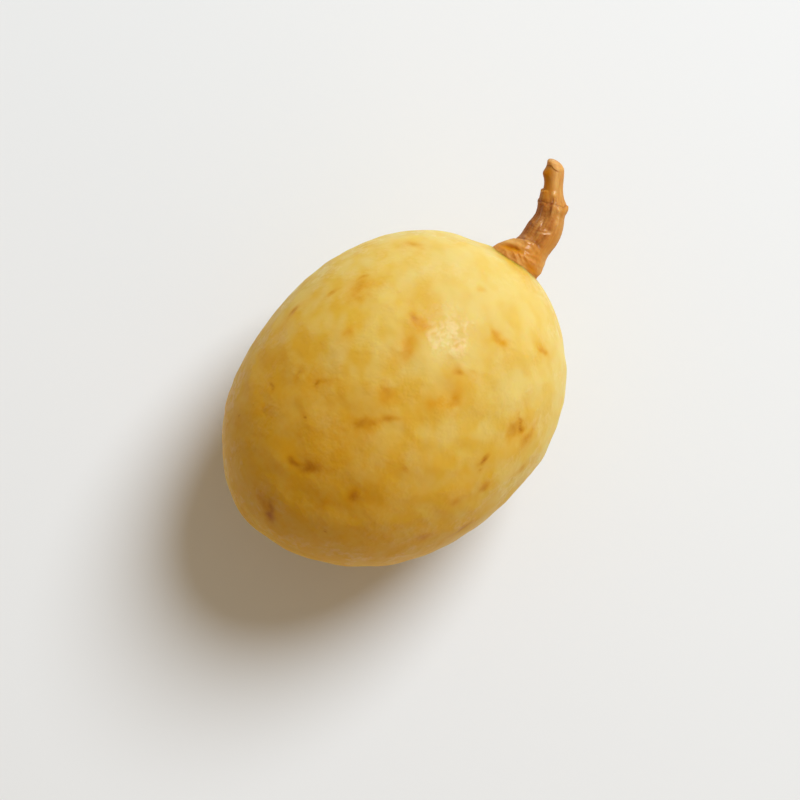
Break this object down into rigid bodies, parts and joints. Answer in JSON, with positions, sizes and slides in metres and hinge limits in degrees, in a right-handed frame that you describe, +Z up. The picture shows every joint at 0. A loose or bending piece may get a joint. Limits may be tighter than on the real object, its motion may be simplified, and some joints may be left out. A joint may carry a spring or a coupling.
{
  "type": "prairie turnip",
  "caption": "Peeled prairie turnip: an egg-shaped, waxy yellow root lying on its side, with a short dry brown stem stub that bends to one side.",
  "frame": {"origin": "centre of the small flat spot under the tuber, on the surface that it rests on", "axes": "+X along the tuber's long axis towards the stem, +Y the side that the stem bends to, +Z up"},
  "size_m": [0.068, 0.0431, 0.0408],
  "materials": {
    "tuber_flesh": "satin",
    "stem_bark": "matte"
  },
  "bodies": {
    "root": {"tuber": "tuber_flesh", "stem": "stem_bark"}
  },
  "joints": []
}
